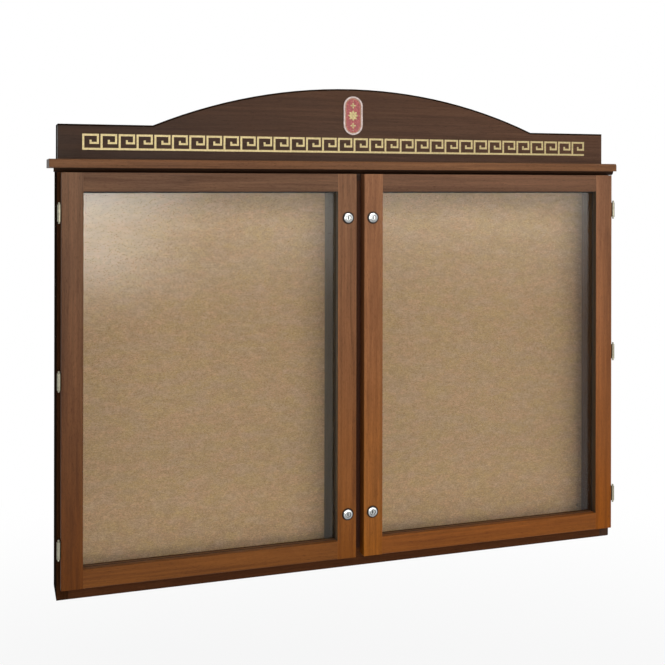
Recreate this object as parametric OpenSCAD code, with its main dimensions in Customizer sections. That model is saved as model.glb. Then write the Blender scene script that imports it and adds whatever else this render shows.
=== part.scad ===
// Wall-mounted outdoor notice board: a hardwood case with two glazed doors, a felt-faced
// pinboard in each bay, key-operated cam locks and a boxed header with an arched top.
// X runs along the wall, Y runs out of the wall to the back, Z is up.
// The origin is on the wall, at the centre of the four wall screw holes. The modules draw
// from the case's lower edge up, and each piece is then lowered to that origin.

/* [Doors] */
// Height of each door
door_h = 935; // [700:5:1200]
// Width of each door
door_w = 698.5; // [450:0.5:900]
// Thickness of the door timber
door_t = 27; // [26:1:34]
// Space between the two closed doors
door_gap = 20; // [12:1:24]
// Space between a closed door and the front of the case
door_clear = 1; // [0.5:0.5:2]
// Width of the upright door stiles
stile_w = 48; // [46:1:70]
// Height of the door rails
rail_h = 43; // [36:1:70]
// Radius worked on the outer arrises of a door
door_arris_r = 2; // [1:0.5:4]
// Length of the tenon at each end of a rail
tenon_l = 25; // [15:1:30]
// Thickness of the tenon
tenon_t = 9; // [6:1:10]
// Width of the shoulder above and below a tenon
tenon_shoulder = 8; // [4:1:12]

/* [Glazing] */
// Distance from the door face back to the glass
reveal_d = 18; // [14:1:18]
// Thickness of the glass
glass_t = 4; // [3:1:4]
// Width of the rebate that holds the glass
rebate_w = 10; // [8:1:12]
// Space left between the edge of the glass and the rebate
glass_edge_gap = 2; // [1:0.5:4]
// Thickness of the glazing seal in front of the glass
seal_t = 1; // [0.5:0.5:2]

/* [Case] */
// Depth of the case from the wall to its front face
case_d = 104; // [80:1:160]
// How far the case stands out beyond the doors at each side
case_reveal = 8; // [6:1:20]
// How far the case shows below the doors
case_below = 32; // [20:1:40]
// Clear height above the doors, up to the cornice
case_above = 11; // [11:1:20]
// Thickness of the case sides
side_t = 26; // [16:1:30]
// Thickness of the case top
top_t = 27; // [22:1:40]
// Thickness of the case bottom
bottom_t = 45; // [42:1:60]
// Radius worked on the lower front arris of the case
case_arris_r = 6; // [2:1:10]
// Thickness of the back panel
back_t = 4; // [4:1:9]
// Depth of the rebate that takes the edge of the back panel
back_rebate = 8; // [4:1:10]
// Thickness of the pinboards
pinboard_t = 9; // [6:1:18]
// Radius of the dowels in the corners of the case and the ends of the post
dowel_r = 3; // [2.5:0.5:4]
// Length of those dowels
dowel_l = 34; // [24:1:50]

/* [Centre post] */
// Width of the centre post behind the meeting stiles
post_w = 108; // [100:1:130]
// Thickness of the two boards at the sides of the post
post_side_t = 12; // [9:1:13]
// Thickness of the keeper board at the front of the post
keeper_t = 9; // [6:1:12]

/* [Cornice and header] */
// Thickness of the cornice board
cornice_t = 20; // [15:1:30]
// How far the cornice stands out in front of the case
cornice_front = 10; // [10:1:20]
// How far the cornice stands out at each end
cornice_end = 18; // [10:1:40]
// Radius worked on the upper front arris of the cornice
cornice_arris_r = 6; // [2:1:8]
// Height and projection of the moulding under the cornice
moulding_s = 10; // [5:1:10]
// How far the moulding runs past each side of the case
moulding_end = 8; // [0:1:15]
// Height of the header at its level shoulders
header_h = 81; // [50:1:140]
// Rise of the arch above the shoulders
arch_rise = 100; // [60:1:140]
// Width of the arch where it meets the shoulders
arch_w = 994; // [700:1:1100]
// Distance from the wall to the header's front face
header_d = 74; // [55:1:90]
// Thickness of the header panel
header_t = 27; // [20:1:32]
// How far each end of the header stands in from the side of the case
header_inset = 3; // [0:1:20]
// Thickness of the strip that caps the header
cap_t = 4; // [3:1:8]
// Thickness of the blocks that close the ends of the header
header_end_t = 17; // [12:1:30]

/* [Plaque] */
// Width of the plaque on the header
plaque_w = 50; // [30:1:60]
// Height of the plaque
plaque_h = 96; // [70:1:105]
// Thickness of the plaque
plaque_t = 4; // [3:0.5:6]
// Depth of the plaque's seat in the header
plaque_seat = 1.5; // [1:0.5:2]
// Height of the plaque's centre above the cornice
plaque_z = 115; // [80:1:118]

/* [Hinges] */
// Radius of the hinge knuckles
knuckle_r = 4; // [3.5:0.25:4.5]
// Height of each hinge leaf
leaf_h = 38; // [36:1:60]
// Thickness of the hinge leaves
leaf_t = 2; // [1.5:0.5:2]
// Distance from the edge of the door to the hinge line
hinge_out = 5; // [5:0.25:6]
// Distance from the door face back to the hinge line
hinge_back = 2; // [1:0.5:4]
// Distance from the end of the door to the nearest hinge's centre
hinge_end = 91; // [60:1:160]
// Radius of the hinge pin
pin_r = 2; // [1.5:0.25:2]
// Radius of the ball at each end of the pin
ball_r = 2.5; // [2.5:0.25:3.5]
// Radial clearance between a turning knuckle and the pin
pin_fit = 0.05; // [0.03:0.01:0.08]

/* [Locks] */
// Distance from the meeting edge of the door to the lock's centre
lock_inset = 22; // [20:1:22]
// Distance from the end of the door to the nearest lock's centre
lock_end = 107; // [80:1:200]
// Radius of the lock's bezel
bezel_r = 12.5; // [11:0.5:14]
// Height of the bezel at its rim
bezel_h = 2.5; // [1.5:0.5:4]
// Height of the bezel's dome above its rim
dome_h = 2.5; // [1.5:0.5:3]
// Radius of the lock's body
body_r = 9.5; // [9:0.5:10]
// Radius of the turning plug
plug_r = 6; // [5:0.5:6.5]
// Radial clearance around the plug
plug_fit = 0.05; // [0.03:0.01:0.08]
// How far the turned cam reaches behind the keeper board
cam_catch = 15; // [10:1:15]
// Width of the cam
cam_w = 12; // [10:1:13]
// Thickness of the cam
cam_t = 3; // [2:0.5:4]
// Space between the cam and the keeper board
cam_gap = 1; // [0.5:0.5:2]
// Space between the cam's hub and the boards at both sides of it
hub_clear = 2; // [1.5:0.5:2]

/* [Wall fixing] */
// Radius of the wall screw holes
wall_hole_r = 4; // [3:0.5:5]
// Distance from the inner corner of the case to the holes, in X and in Z
wall_hole_in = 14; // [10:1:20]

/* [Hidden] */
$fn = 64;
// Doors
door_y1 = -(case_d + door_clear);
door_y0 = door_y1 - door_t;
door_z0 = case_below;
door_z1 = door_z0 + door_h;
door_x0 = -(door_w + door_gap / 2);
door_x1 = -door_gap / 2;
sight_x0 = door_x0 + stile_w;
sight_x1 = door_x1 - stile_w;
sight_z0 = door_z0 + rail_h;
sight_z1 = door_z1 - rail_h;
tenon_y = door_y0 + (reveal_d - seal_t - tenon_t) / 2;
// Glazing, from the door face back
seal_y0 = door_y0 + reveal_d - seal_t;
glass_y0 = door_y0 + reveal_d;
bead_y0 = glass_y0 + glass_t;
glass_x0 = sight_x0 - rebate_w + glass_edge_gap;
glass_x1 = sight_x1 + rebate_w - glass_edge_gap;
glass_z0 = sight_z0 - rebate_w + glass_edge_gap;
glass_z1 = sight_z1 + rebate_w - glass_edge_gap;
// Case
case_x = door_w + door_gap / 2 + case_reveal;
case_h = door_z1 + case_above;
inner_x = case_x - side_t;
inner_z0 = bottom_t;
inner_z1 = case_h - top_t;
post_x = post_w / 2;
post_in = post_x - post_side_t;
mid_z = (inner_z0 + inner_z1) / 2;
dowel_ys = [-case_d * 0.75, -case_d * 0.3];
dowel_in_side = side_t * 0.6;
// Header
header_z = case_h + cornice_t;
header_x = case_x - header_inset;
arch_r = (pow(arch_w / 2, 2) + pow(arch_rise, 2)) / (2 * arch_rise);
arch_top = header_z + header_h + arch_rise;
plaque_rim = 4;
plaque_sink = 1;
// Hinges
hinge_x = door_x0 - hinge_out;
hinge_y = door_y0 + hinge_back;
hinge_zs = [door_z0 + hinge_end, (door_z0 + door_z1) / 2, door_z1 - hinge_end];
leaf_gap = 0.4;
knuckle_gap = 0.2;
turn_clear = 0.8;
leaf_back = 1.5;
foot_in = 8;
leaf_screw_z = leaf_h * 0.3;
leaf_screw_y = door_y1 - leaf_back - 9;
web_x0 = door_x0 - 2 * leaf_t - leaf_gap;
leaf_y0 = hinge_y + knuckle_r + turn_clear;
ball_gap = 0.3;
// Locks
lock_x = door_x1 - lock_inset;
lock_zs = [door_z0 + lock_end, door_z1 - lock_end];
nut_t = 5;
nut_seat = 7;
nut_r = body_r + 4.3;
nut_clear = 0.3;
body_l = door_t - 1;
body_clear = 0.1;
tail_s = plug_r * 1.3;
flange_r = plug_r + 1.5;
flange_t = 1.5;
plug_step = 0.5;
keyway_w = 1.6;
keyway_h = 7.5;
keyway_d = 5;
cam_y = door_t + door_clear + keeper_t + cam_gap;
hub_r = cam_w / 2 + 1;
cam_l = hub_r + hub_clear + cam_catch;
cam_screw_r = 2;
cam_screw_l = 10;
cam_head_r = 5;
cam_head_t = 2.5;
tip_clear = 2;
// Keeper board and web of the post
keeper_x = -lock_x - hub_r - hub_clear;
web_x = keeper_x - cam_catch - tip_clear;
// Screws
screw_r = 1.75;
head_r = 3.25;
head_t = 1.5;
driver_w = 0.9;
driver_d = 0.6;
case_screw_l = 25;
cornice_screw_l = top_t + cornice_t * 0.7;
header_bite = 30;
header_screw_l = cornice_t + header_bite;
keeper_screw_fs = [0.06, 0.35, 0.65, 0.94];
cornice_screw_fs = [-0.85, -0.45, 0.45, 0.85];
header_screw_fs = [-0.9, -0.5, -0.17, 0.17, 0.5, 0.9];

// Shared shapes

module placed() {
  translate([0, 0, -mid_z])
    children();
}

module block(a, b) {
  translate(a)
    cube(b - a);
}

// Left-hand pieces are drawn as they stand; right-hand ones are their mirror image.
module on_side(right) {
  if (right)
    mirror([1, 0, 0])
      children();
  else
    children();
}

// What is cut away to round an arris that runs along X; the round is convex towards -Y.
module arris_cut(length, r, up) {
  difference() {
    translate([-length / 2, -1, up ? 0 : -r - 1])
      cube([length, r + 1, r + 1]);
    translate([-length / 2 - 1, r, 0])
      rotate([0, 90, 0])
        cylinder(h = length + 2, r = r);
  }
}

// A countersunk wood screw along +Z with its head's face at the origin.
module screw(length) {
  difference() {
    screw_hole(length);
    translate([-head_r, -driver_w / 2, -1])
      cube([2 * head_r, driver_w, driver_d + 1]);
  }
}

module screw_hole(length) {
  cylinder(h = head_t, r1 = head_r, r2 = screw_r);
  cylinder(h = length, r = screw_r);
}

// Case

module case_side(right) {
  color([0.2, 0.14, 0.1])
    on_side(right)
      difference() {
        block([-case_x, -case_d, 0], [-inner_x, 0, case_h]);
        back_rebate_cut();
        translate([-case_x, -case_d, case_arris_r])
          arris_cut(4 * case_x, case_arris_r, false);
        for (z = hinge_zs) {
          translate([0, 0, z])
            leaf_foot();
          leaf_foot_screws(z)
            screw_hole(case_screw_l);
        }
        corner_dowels();
      }
}

// The seat of the back panel, cut into the back edges of the four case boards.
module back_rebate_cut() {
  x = inner_x + back_rebate;
  block([-x, -back_t, inner_z0 - back_rebate], [x, 1, inner_z1 + back_rebate]);
}

// The dowels of the left-hand corners, at the top and bottom boards.
module corner_dowels() {
  for (z = [inner_z0 / 2, case_h - top_t / 2])
    for (y = dowel_ys)
      translate([-inner_x - dowel_in_side, y, z])
        rotate([0, 90, 0])
          cylinder(h = dowel_l, r = dowel_r);
}

// The upright dowels in the ends of the post's three boards.
module post_dowels() {
  x = post_x - post_side_t / 2;
  for (x = [-x, 0, x])
    for (y = dowel_ys)
      for (z = [inner_z0, inner_z1])
        translate([x, y, z - dowel_l / 2])
          cylinder(h = dowel_l, r = dowel_r);
}

module all_dowels() {
  for (right = [false, true])
    on_side(right)
      corner_dowels();
  post_dowels();
}

module case_dowels() {
  color([0.74, 0.6, 0.42])
    all_dowels();
}

module case_top() {
  color([0.33, 0.22, 0.14])
    difference() {
      block([-inner_x, -case_d, inner_z1], [inner_x, 0, case_h]);
      back_rebate_cut();
      all_dowels();
      cornice_screw_places()
        screw_hole(cornice_screw_l);
    }
}

module case_bottom() {
  color([0.36, 0.24, 0.14])
    difference() {
      block([-inner_x, -case_d, 0], [inner_x, 0, inner_z0]);
      back_rebate_cut();
      translate([0, -case_d, case_arris_r])
        arris_cut(4 * case_x, case_arris_r, false);
      all_dowels();
    }
}

module wall_holes() {
  for (x = [-1, 1] * (inner_x - wall_hole_in))
    for (z = [inner_z0 + wall_hole_in, inner_z1 - wall_hole_in])
      translate([x, 1, z])
        rotate([90, 0, 0])
          cylinder(h = back_t + pinboard_t + 2, r = wall_hole_r);
}

module back_panel() {
  color([0.5, 0.4, 0.28])
    difference() {
      intersection() {
        back_rebate_cut();
        block([-case_x, -back_t, 0], [case_x, 0, case_h]);
      }
      wall_holes();
    }
}

module pinboard(right) {
  color([0.66, 0.56, 0.42])
    on_side(right)
      difference() {
        block([-inner_x, -back_t - pinboard_t, inner_z0], [-post_x, -back_t, inner_z1]);
        wall_holes();
      }
}

// Centre post

module post_sides() {
  color([0.3, 0.2, 0.13])
    for (right = [false, true])
      on_side(right)
        difference() {
          block([-post_x, -case_d, inner_z0], [-post_in, -back_t, inner_z1]);
          post_dowels();
        }
}

module post_web() {
  color([0.3, 0.2, 0.13])
    difference() {
      block([-web_x, -case_d + keeper_t, inner_z0], [web_x, -back_t, inner_z1]);
      post_dowels();
      keeper_screw_places()
        screw_hole(case_screw_l);
    }
}

// The cams hang down beside this board when unlocked and lie behind it when locked.
module keeper_board() {
  color([0.33, 0.22, 0.14])
    difference() {
      block([-keeper_x, -case_d, inner_z0], [keeper_x, -case_d + keeper_t, inner_z1]);
      keeper_screw_places()
        screw_hole(case_screw_l);
    }
}

module keeper_screw_places() {
  for (f = keeper_screw_fs)
    translate([0, -case_d, inner_z0 + f * (inner_z1 - inner_z0)])
      rotate([-90, 0, 0])
        children();
}

module keeper_screws() {
  color([0.7, 0.7, 0.68])
    keeper_screw_places()
      screw(case_screw_l);
}

// Cornice

module cornice() {
  color([0.42, 0.28, 0.16])
    difference() {
      block([-case_x - cornice_end, -case_d - cornice_front, case_h], [case_x + cornice_end, 0, header_z]);
      translate([0, -case_d - cornice_front, header_z - cornice_arris_r])
        arris_cut(4 * case_x, cornice_arris_r, true);
      cornice_screw_places()
        screw_hole(cornice_screw_l);
      header_screw_places()
        screw_hole(header_screw_l);
    }
}

module cornice_screw_places() {
  for (f = cornice_screw_fs)
    translate([f * inner_x, -case_d * 0.5, inner_z1])
      children();
}

module cornice_screws() {
  color([0.7, 0.7, 0.68])
    cornice_screw_places()
      screw(cornice_screw_l);
}

module cornice_moulding() {
  x = case_x + moulding_end;
  color([0.2, 0.13, 0.08])
    intersection() {
      block([-x, -case_d - moulding_s, case_h - moulding_s], [x, -case_d, case_h]);
      translate([-x, -case_d, case_h])
        rotate([0, 90, 0])
          cylinder(h = 2 * x, r = moulding_s);
    }
}

// Header

// The header's outline, its top lowered by the given amount, from one Y to another.
module header_shape(lower, y0, y1) {
  block([-header_x, y0, header_z], [header_x, y1, header_z + header_h - lower]);
  intersection() {
    translate([0, y0, arch_top - arch_r])
      rotate([-90, 0, 0])
        cylinder(h = y1 - y0, r = arch_r - lower, $fn = 360);
    block([-arch_w / 2, y0, header_z + 1], [arch_w / 2, y1, arch_top]);
  }
}

module header_panel() {
  color([0.29, 0.2, 0.14])
    difference() {
      header_shape(cap_t, -header_d, -header_d + header_t);
      header_screw_places()
        screw_hole(header_screw_l);
      plaque_body(0);
    }
}

module header_screw_places() {
  for (f = header_screw_fs)
    translate([f * header_x, -header_d + header_t / 2, case_h])
      children();
}

module header_screws() {
  color([0.7, 0.7, 0.68])
    header_screw_places()
      screw(header_screw_l);
}

module header_ends() {
  top = header_z + header_h - cap_t;
  color([0.27, 0.19, 0.13])
    for (right = [false, true])
      on_side(right)
        block([-header_x, -header_d + header_t, header_z], [-header_x + header_end_t, 0, top]);
}

module header_cap() {
  color([0.14, 0.1, 0.07])
    difference() {
      header_shape(0, -header_d, 0);
      header_shape(cap_t, -header_d - 1, 1);
      block([-header_x - 1, -header_d - 1, header_z - 1], [header_x + 1, 1, header_z + header_h - cap_t]);
    }
}

// A plate with round ends, let into the header's face.
module plaque_body(less) {
  r = plaque_w / 2 - less;
  span = plaque_h / 2 - plaque_w / 2;
  translate([0, -header_d + plaque_seat - plaque_t, header_z + plaque_z])
    rotate([-90, 0, 0]) {
      for (side = [-1, 1])
        translate([0, side * span, 0])
          cylinder(h = plaque_t, r = r);
      translate([-r, -span, 0])
        cube([2 * r, 2 * span, plaque_t]);
    }
}

module plaque() {
  color([0.62, 0.12, 0.1])
    difference() {
      plaque_body(0);
      translate([0, plaque_sink - plaque_t, 0])
        plaque_body(plaque_rim);
    }
}

// Hinges. Each case leaf is cranked: its foot is let into the case's front edge and its web
// runs forward beside the door to the knuckle.

module leaf_foot() {
  block([web_x0, -case_d, -leaf_h / 2], [door_x0 + foot_in, -case_d + leaf_t, leaf_h / 2]);
}

module leaf_foot_screws(z) {
  for (side = [-1, 1])
    translate([door_x0 + foot_in / 2 - 1, -case_d, z + side * leaf_screw_z])
      rotate([-90, 0, 0])
        children();
}

module case_leaves(right) {
  color([0.78, 0.76, 0.71])
    on_side(right)
      for (z = hinge_zs)
        difference() {
          translate([0, 0, z])
            case_leaf();
          leaf_foot_screws(z)
            screw_hole(case_screw_l);
        }
}

module case_leaf() {
  web_x1 = web_x0 + leaf_t;
  difference() {
    union() {
      leaf_foot();
      block([web_x0, leaf_y0, -leaf_h / 2], [web_x1, -case_d + leaf_t, leaf_h / 2]);
      block([web_x0, hinge_y, -leaf_h / 2], [web_x1, -case_d + leaf_t, -knuckle_gap / 2]);
      translate([hinge_x, hinge_y, -leaf_h / 2])
        cylinder(h = leaf_h / 2 - knuckle_gap / 2, r = knuckle_r);
    }
    translate([hinge_x, hinge_y, -leaf_h / 2 - 1])
      cylinder(h = leaf_h + 2, r = pin_r);
  }
}

module door_leaf_screws(z) {
  for (side = [-1, 1])
    translate([door_x0 - leaf_t, leaf_screw_y, z + side * leaf_screw_z])
      rotate([0, 90, 0])
        children();
}

module door_leaves(right) {
  color([0.78, 0.76, 0.71])
    on_side(right)
      for (z = hinge_zs)
        difference() {
          translate([0, 0, z])
            door_leaf();
          door_leaf_screws(z)
            screw_hole(case_screw_l);
        }
}

module door_leaf() {
  leaf_y1 = door_y1 - leaf_back;
  difference() {
    union() {
      block([door_x0 - leaf_t, leaf_y0, -leaf_h / 2], [door_x0, leaf_y1, leaf_h / 2]);
      block([door_x0 - leaf_t, hinge_y - 1, knuckle_gap / 2], [door_x0, leaf_y1, leaf_h / 2]);
      translate([hinge_x, hinge_y, knuckle_gap / 2])
        cylinder(h = leaf_h / 2 - knuckle_gap / 2, r = knuckle_r);
    }
    translate([hinge_x, hinge_y, -leaf_h / 2 - 1])
      cylinder(h = leaf_h + 2, r = pin_r + pin_fit);
  }
}

module hinge_pins() {
  color([0.8, 0.78, 0.73])
    for (right = [false, true])
      on_side(right)
        for (z = hinge_zs)
          translate([hinge_x, hinge_y, z]) {
            translate([0, 0, -leaf_h / 2 - ball_r])
              cylinder(h = leaf_h + 2 * ball_r, r = pin_r);
            for (side = [-1, 1])
              translate([0, 0, side * (leaf_h / 2 + ball_r + ball_gap)])
                sphere(r = ball_r);
          }
}

module case_leaf_screws() {
  color([0.7, 0.7, 0.68])
    for (right = [false, true])
      on_side(right)
        for (z = hinge_zs)
          leaf_foot_screws(z)
            screw(case_screw_l);
}

module leaf_screws(right) {
  color([0.7, 0.7, 0.68])
    on_side(right)
      for (z = hinge_zs)
        door_leaf_screws(z)
          screw(case_screw_l);
}

// Doors

module glass_rebate() {
  w = rebate_w;
  block([sight_x0 - w, seal_y0, sight_z0 - w], [sight_x1 + w, door_y1 + 1, sight_z1 + w]);
}

// The tenons at both ends of both rails.
module tenons() {
  for (z = [door_z0 + tenon_shoulder, sight_z1 + tenon_shoulder])
    for (x = [sight_x0 - tenon_l, sight_x1])
      block([x, tenon_y, z], [x + tenon_l, tenon_y + tenon_t, z + rail_h - 2 * tenon_shoulder]);
}

module upright_arris(x, r) {
  difference() {
    translate([x, door_y0, (door_z0 + door_z1) / 2])
      cube([2 * r, 2 * r, door_h + 2], center = true);
    for (side = [-1, 1])
      translate([x + side * r, door_y0 + r, door_z0 - 2])
        cylinder(h = door_h + 4, r = r);
  }
}

module hinge_stile(right) {
  color([0.45, 0.31, 0.2])
    on_side(right)
      difference() {
        block([door_x0, door_y0, door_z0], [sight_x0, door_y1, door_z1]);
        glass_rebate();
        tenons();
        upright_arris(door_x0, door_arris_r);
        for (z = hinge_zs)
          door_leaf_screws(z)
            screw_hole(case_screw_l);
      }
}

module lock_stile(right) {
  color([0.45, 0.31, 0.2])
    on_side(right)
      difference() {
        block([sight_x1, door_y0, door_z0], [door_x1, door_y1, door_z1]);
        glass_rebate();
        tenons();
        upright_arris(door_x1, door_arris_r);
        for (z = lock_zs)
          translate([lock_x, door_y0, z])
            rotate([-90, 0, 0]) {
              translate([0, 0, -1])
                cylinder(h = door_t + 2, r = body_r + body_clear);
              translate([0, 0, door_t - nut_seat])
                cylinder(h = nut_seat + 1, r = nut_r + nut_clear);
            }
      }
}

module rail(z0) {
  intersection() {
    difference() {
      union() {
        block([sight_x0, door_y0, z0], [sight_x1, door_y1, z0 + rail_h]);
        tenons();
      }
      glass_rebate();
    }
    block([door_x0, door_y0, z0], [door_x1, door_y1, z0 + rail_h]);
  }
}

module top_rail(right) {
  color([0.42, 0.29, 0.19])
    on_side(right)
      difference() {
        rail(sight_z1);
        translate([(door_x0 + door_x1) / 2, door_y0, door_z1 - door_arris_r])
          arris_cut(2 * door_w, door_arris_r, true);
      }
}

module bottom_rail(right) {
  color([0.48, 0.31, 0.16])
    on_side(right)
      difference() {
        rail(door_z0);
        translate([(door_x0 + door_x1) / 2, door_y0, door_z0 + door_arris_r])
          arris_cut(2 * door_w, door_arris_r, false);
      }
}

module seal(right) {
  color([0.08, 0.08, 0.08])
    on_side(right)
      difference() {
        block([glass_x0, seal_y0, glass_z0], [glass_x1, glass_y0, glass_z1]);
        block([sight_x0, seal_y0 - 1, sight_z0], [sight_x1, glass_y0 + 1, sight_z1]);
      }
}

module glass(right) {
  color([0.75, 0.85, 0.85, 0.25])
    on_side(right)
      block([glass_x0, glass_y0, glass_z0], [glass_x1, bead_y0, glass_z1]);
}

module upright_beads(right) {
  color([0.36, 0.25, 0.16])
    on_side(right)
      for (x = [sight_x0 - rebate_w, sight_x1])
        block([x, bead_y0, sight_z0 - rebate_w], [x + rebate_w, door_y1, sight_z1 + rebate_w]);
}

module cross_beads(right) {
  color([0.36, 0.25, 0.16])
    on_side(right)
      for (z = [sight_z0 - rebate_w, sight_z1])
        block([sight_x0, bead_y0, z], [sight_x1, door_y1, z + rebate_w]);
}

// Locks. Each lock is drawn along +Z from the door face back and then turned into the door.

module at_locks(right, zs) {
  on_side(right)
    for (z = zs)
      translate([lock_x, door_y0, z])
        rotate([-90, 0, 0])
          children();
}

module lock_bodies(right) {
  dome_r = (pow(bezel_r, 2) + pow(dome_h, 2)) / (2 * dome_h);
  color([0.75, 0.76, 0.78])
    at_locks(right, lock_zs)
      difference() {
        union() {
          intersection() {
            translate([0, 0, -bezel_h - dome_h])
              cylinder(h = bezel_h + dome_h, r = bezel_r);
            translate([0, 0, dome_r - bezel_h - dome_h])
              sphere(r = dome_r, $fn = 128);
          }
          cylinder(h = body_l, r = body_r);
        }
        translate([0, 0, -bezel_h - dome_h - 1])
          cylinder(h = body_l + bezel_h + dome_h + 2, r = plug_r + plug_fit);
        translate([0, 0, -bezel_h - dome_h - 1])
          cylinder(h = dome_h + 1 + plug_step + flange_t, r = flange_r + plug_fit);
      }
}

module lock_nuts(right) {
  color([0.66, 0.67, 0.68])
    at_locks(right, lock_zs)
      translate([0, 0, door_t - nut_seat])
        difference() {
          cylinder(h = nut_t, r = nut_r, $fn = 6);
          translate([0, 0, -1])
            cylinder(h = nut_t + 2, r = body_r);
        }
}

module plug(right, z) {
  color([0.42, 0.45, 0.5])
    at_locks(right, [z])
      difference() {
        union() {
          translate([0, 0, -bezel_h + plug_step])
            cylinder(h = flange_t, r = flange_r);
          translate([0, 0, -bezel_h + plug_step])
            cylinder(h = body_l + bezel_h - plug_step, r = plug_r);
          translate([-tail_s / 2, -tail_s / 2, body_l - 1])
            cube([tail_s, tail_s, cam_y + cam_t - body_l + 1]);
        }
        cam_screw_shank();
        translate([-keyway_w / 2, -keyway_h / 2, -bezel_h - dome_h])
          cube([keyway_w, keyway_h, dome_h + keyway_d]);
      }
}

module cam(right, z) {
  color([0.7, 0.71, 0.72])
    at_locks(right, [z])
      translate([0, 0, cam_y])
        difference() {
          union() {
            cylinder(h = cam_t, r = hub_r);
            translate([-cam_w / 2, 0, 0])
              cube([cam_w, cam_l - cam_w / 2, cam_t]);
            translate([0, cam_l - cam_w / 2, 0])
              cylinder(h = cam_t, r = cam_w / 2);
          }
          translate([-tail_s / 2, -tail_s / 2, -1])
            cube([tail_s, tail_s, cam_t + 2]);
        }
}

module cam_screw_shank() {
  translate([0, 0, cam_y + cam_t - cam_screw_l])
    cylinder(h = cam_screw_l, r = cam_screw_r);
}

module cam_screw(right, z) {
  color([0.7, 0.71, 0.72])
    at_locks(right, [z]) {
      cam_screw_shank();
      translate([0, 0, cam_y + cam_t])
        difference() {
          cylinder(h = cam_head_t, r = cam_head_r);
          translate([-cam_head_r - 1, -driver_w / 2, cam_head_t - driver_d])
            cube([2 * cam_head_r + 2, driver_w, driver_d + 1]);
        }
    }
}

placed() case_side(false);  // case_side_left
placed() case_side(true);  // case_side_right
placed() case_top();
placed() case_bottom();
placed() back_panel();
placed() case_dowels();
placed() post_sides();
placed() post_web();
placed() keeper_board();
placed() keeper_screws();
placed() pinboard(false);  // pinboard_left
placed() pinboard(true);  // pinboard_right
placed() cornice();
placed() cornice_moulding();
placed() cornice_screws();
placed() header_panel();
placed() header_ends();
placed() header_cap();
placed() header_screws();
placed() plaque();
placed() case_leaves(false);  // case_leaves_left
placed() case_leaves(true);  // case_leaves_right
placed() hinge_pins();
placed() case_leaf_screws();
placed() hinge_stile(false);  // left_hinge_stile
placed() lock_stile(false);  // left_lock_stile
placed() top_rail(false);  // left_top_rail
placed() bottom_rail(false);  // left_bottom_rail
placed() glass(false);  // left_glass
placed() seal(false);  // left_seal
placed() upright_beads(false);  // left_upright_beads
placed() cross_beads(false);  // left_cross_beads
placed() door_leaves(false);  // left_door_leaves
placed() leaf_screws(false);  // left_leaf_screws
placed() lock_bodies(false);  // left_lock_bodies
placed() lock_nuts(false);  // left_lock_nuts
placed() hinge_stile(true);  // right_hinge_stile
placed() lock_stile(true);  // right_lock_stile
placed() top_rail(true);  // right_top_rail
placed() bottom_rail(true);  // right_bottom_rail
placed() glass(true);  // right_glass
placed() seal(true);  // right_seal
placed() upright_beads(true);  // right_upright_beads
placed() cross_beads(true);  // right_cross_beads
placed() door_leaves(true);  // right_door_leaves
placed() leaf_screws(true);  // right_leaf_screws
placed() lock_bodies(true);  // right_lock_bodies
placed() lock_nuts(true);  // right_lock_nuts
placed() plug(false, lock_zs[1]);  // left_upper_plug
placed() cam(false, lock_zs[1]);  // left_upper_cam
placed() cam_screw(false, lock_zs[1]);  // left_upper_cam_screw
placed() plug(false, lock_zs[0]);  // left_lower_plug
placed() cam(false, lock_zs[0]);  // left_lower_cam
placed() cam_screw(false, lock_zs[0]);  // left_lower_cam_screw
placed() plug(true, lock_zs[1]);  // right_upper_plug
placed() cam(true, lock_zs[1]);  // right_upper_cam
placed() cam_screw(true, lock_zs[1]);  // right_upper_cam_screw
placed() plug(true, lock_zs[0]);  // right_lower_plug
placed() cam(true, lock_zs[0]);  // right_lower_cam
placed() cam_screw(true, lock_zs[0]);  // right_lower_cam_screw
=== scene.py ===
"""Looks of a wall-mounted outdoor notice board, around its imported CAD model."""

import math

import bmesh
import bpy
from mathutils import Matrix, Vector


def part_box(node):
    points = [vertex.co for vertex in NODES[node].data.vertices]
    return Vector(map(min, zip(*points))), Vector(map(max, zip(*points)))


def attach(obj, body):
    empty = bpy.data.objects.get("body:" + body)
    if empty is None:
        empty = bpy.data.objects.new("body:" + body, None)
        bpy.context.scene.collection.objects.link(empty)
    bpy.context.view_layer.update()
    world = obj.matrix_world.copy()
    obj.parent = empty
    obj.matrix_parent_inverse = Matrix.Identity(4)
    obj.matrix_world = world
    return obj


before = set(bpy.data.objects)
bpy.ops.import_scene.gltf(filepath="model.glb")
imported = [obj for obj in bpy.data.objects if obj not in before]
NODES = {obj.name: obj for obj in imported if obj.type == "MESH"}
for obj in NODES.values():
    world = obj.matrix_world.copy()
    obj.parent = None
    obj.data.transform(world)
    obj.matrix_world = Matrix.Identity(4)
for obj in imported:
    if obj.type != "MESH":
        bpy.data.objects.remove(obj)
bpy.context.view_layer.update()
MM = 0.001


# Node helpers.


def linear(rgb):
    """A colour given as 0..255 display values, as linear light with alpha."""
    out = []
    for c in rgb:
        c = c / 255
        out.append(c / 12.92 if c <= 0.04045 else ((c + 0.055) / 1.055) ** 2.4)
    return (*out, 1.0)


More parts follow.
